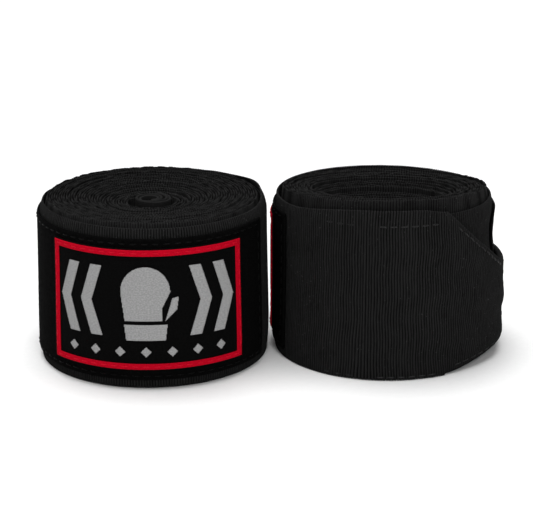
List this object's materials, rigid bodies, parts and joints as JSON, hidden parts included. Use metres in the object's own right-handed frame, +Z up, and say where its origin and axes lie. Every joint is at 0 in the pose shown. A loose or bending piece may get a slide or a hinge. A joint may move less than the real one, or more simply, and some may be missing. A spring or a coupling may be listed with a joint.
{
  "type": "hand wrap",
  "caption": "Rolled elastic boxing hand wraps standing on edge, with woven label, loop patch, tapered tail and peel-off hook tab.",
  "frame": {"origin": "centre of the pair's bounding box, on the surface the rolls stand on", "axes": "+X along the pair from the labelled roll to the other, +Y away from the label, +Z up along the rolls' axes"},
  "size_m": [0.1506, 0.0808, 0.0538],
  "materials": {
    "band_fabric": "black ribbed elastic weave, matt with a faint sheen on the ribs",
    "loop_tape": "black brushed loop pile, matt",
    "hook_tape": "black moulded hooks on a woven base",
    "backing_tape": "black flat woven tape",
    "thumb_tape": "black herringbone tape",
    "thread": "black spun sewing thread",
    "label_thread": "red spun sewing thread",
    "label_ground": "black damask-woven label ground",
    "label_border": "red satin-woven edge",
    "label_motif": "light grey twill-woven motif"
  },
  "bodies": {
    "left_roll": {"left_rolled_turns": "band_fabric", "left_outer_turn": "band_fabric", "left_thumb_loop": "thumb_tape", "left_thumb_loop_bartack": "thread", "left_loop_patch": "loop_tape", "left_loop_patch_stitches": "thread", "left_label": "label_ground", "left_label_border": "label_border", "left_label_emblem": "label_motif", "left_label_stitches": "label_thread", "left_backing_tape": "backing_tape", "left_backing_stitches": "thread"},
    "left_tail": {"left_tail_panel": "band_fabric", "left_tail_backing": "backing_tape", "left_tail_stitches": "thread"},
    "left_taper_end": {"left_taper": "band_fabric", "left_taper_folds": "band_fabric", "left_taper_stitches": "thread"},
    "left_closure_tab": {"left_tab": "band_fabric", "left_tab_folds": "band_fabric", "left_hook_strip": "hook_tape", "left_tab_stitches": "thread"},
    "right_roll": {"right_rolled_turns": "band_fabric", "right_outer_turn": "band_fabric", "right_thumb_loop": "thumb_tape", "right_thumb_loop_bartack": "thread", "right_loop_patch": "loop_tape", "right_loop_patch_stitches": "thread", "right_label": "label_ground", "right_label_border": "label_border", "right_label_emblem": "label_motif", "right_label_stitches": "label_thread", "right_backing_tape": "backing_tape", "right_backing_stitches": "thread"},
    "right_tail": {"right_tail_panel": "band_fabric", "right_tail_backing": "backing_tape", "right_tail_stitches": "thread"},
    "right_taper_end": {"right_taper": "band_fabric", "right_taper_folds": "band_fabric", "right_taper_stitches": "thread"},
    "right_closure_tab": {"right_tab": "band_fabric", "right_tab_folds": "band_fabric", "right_hook_strip": "hook_tape", "right_tab_stitches": "thread"}
  },
  "joints": [
    {"name": "rolls_apart", "type": "slide", "parent": "left_roll", "child": "right_roll", "axis": [1, 0, 0], "range_m": [0, 0.1]},
    {"name": "left_tail_unroll", "type": "hinge", "parent": "left_roll", "child": "left_tail", "pos_m": [-0.00573, 0.01721, 0], "axis": [0, 0, -1], "range_deg": [0, 45]},
    {"name": "left_taper_unroll", "type": "hinge", "parent": "left_tail", "child": "left_taper_end", "pos_m": [-0.02667, 0.03411, 0], "axis": [0, 0, -1], "range_deg": [0, 50]},
    {"name": "left_tab_peel", "type": "hinge", "parent": "left_taper_end", "child": "left_closure_tab", "pos_m": [-0.0584, 0.03243, 0], "axis": [0, 0, -1], "range_deg": [0, 100]},
    {"name": "right_tail_unroll", "type": "hinge", "parent": "right_roll", "child": "right_tail", "pos_m": [0.02893, -0.03098, 0], "axis": [0, 0, -1], "range_deg": [0, 45]},
    {"name": "right_taper_unroll", "type": "hinge", "parent": "right_tail", "child": "right_taper_end", "pos_m": [0.05439, -0.02737, 0], "axis": [0, 0, -1], "range_deg": [0, 50]},
    {"name": "right_tab_peel", "type": "hinge", "parent": "right_taper_end", "child": "right_closure_tab", "pos_m": [0.07406, -0.00413, 0], "axis": [0, 0, -1], "range_deg": [0, 100]}
  ]
}
